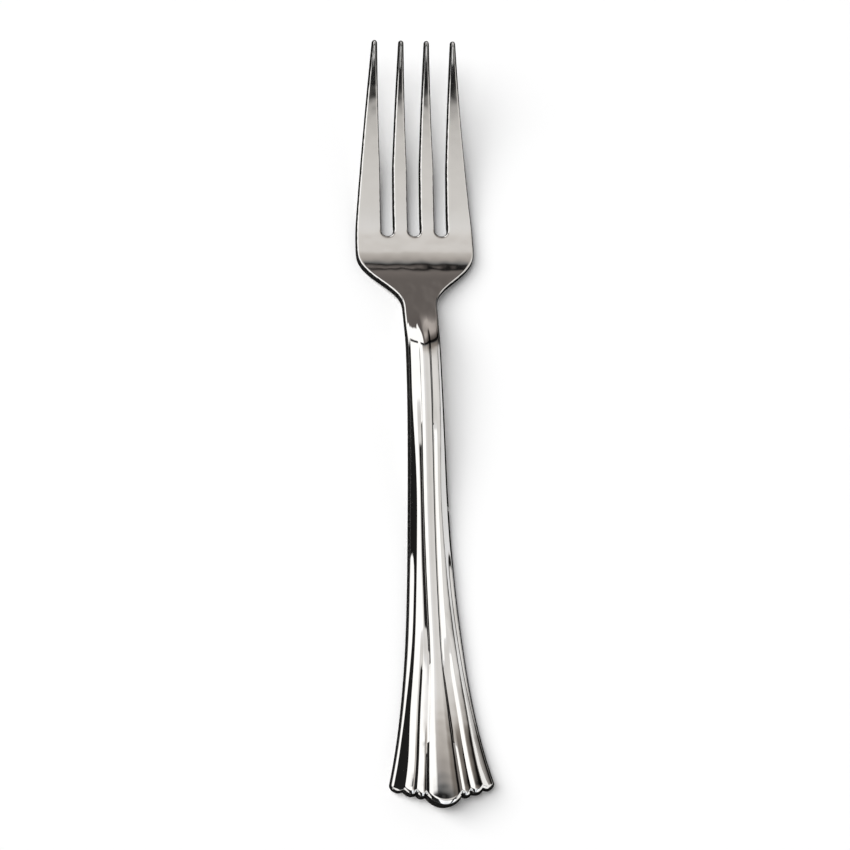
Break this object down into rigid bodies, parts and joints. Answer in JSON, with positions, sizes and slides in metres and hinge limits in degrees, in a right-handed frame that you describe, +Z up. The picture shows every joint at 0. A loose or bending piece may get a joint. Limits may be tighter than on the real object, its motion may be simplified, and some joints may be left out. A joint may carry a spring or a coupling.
{
  "type": "dinner fork",
  "caption": "Dinner fork with tapering tines, rounded shoulders, a raised neck and a fluted handle that flares to a scalloped end, moulded in plastic and mirror-coated.",
  "frame": {"origin": "centre of the fork's bounding box, on the surface that it lies on", "axes": "+Y from the end of the handle to the tine tips, +Z up out of the front, +X to the right seen from the front"},
  "size_m": [0.0276, 0.178, 0.014],
  "materials": {
    "core_plastic": "plain moulded grey",
    "mirror_film": "mirror"
  },
  "bodies": {
    "root": {"core_moulding": "core_plastic", "front_mirror_film": "mirror_film", "back_mirror_film": "mirror_film"}
  },
  "joints": []
}
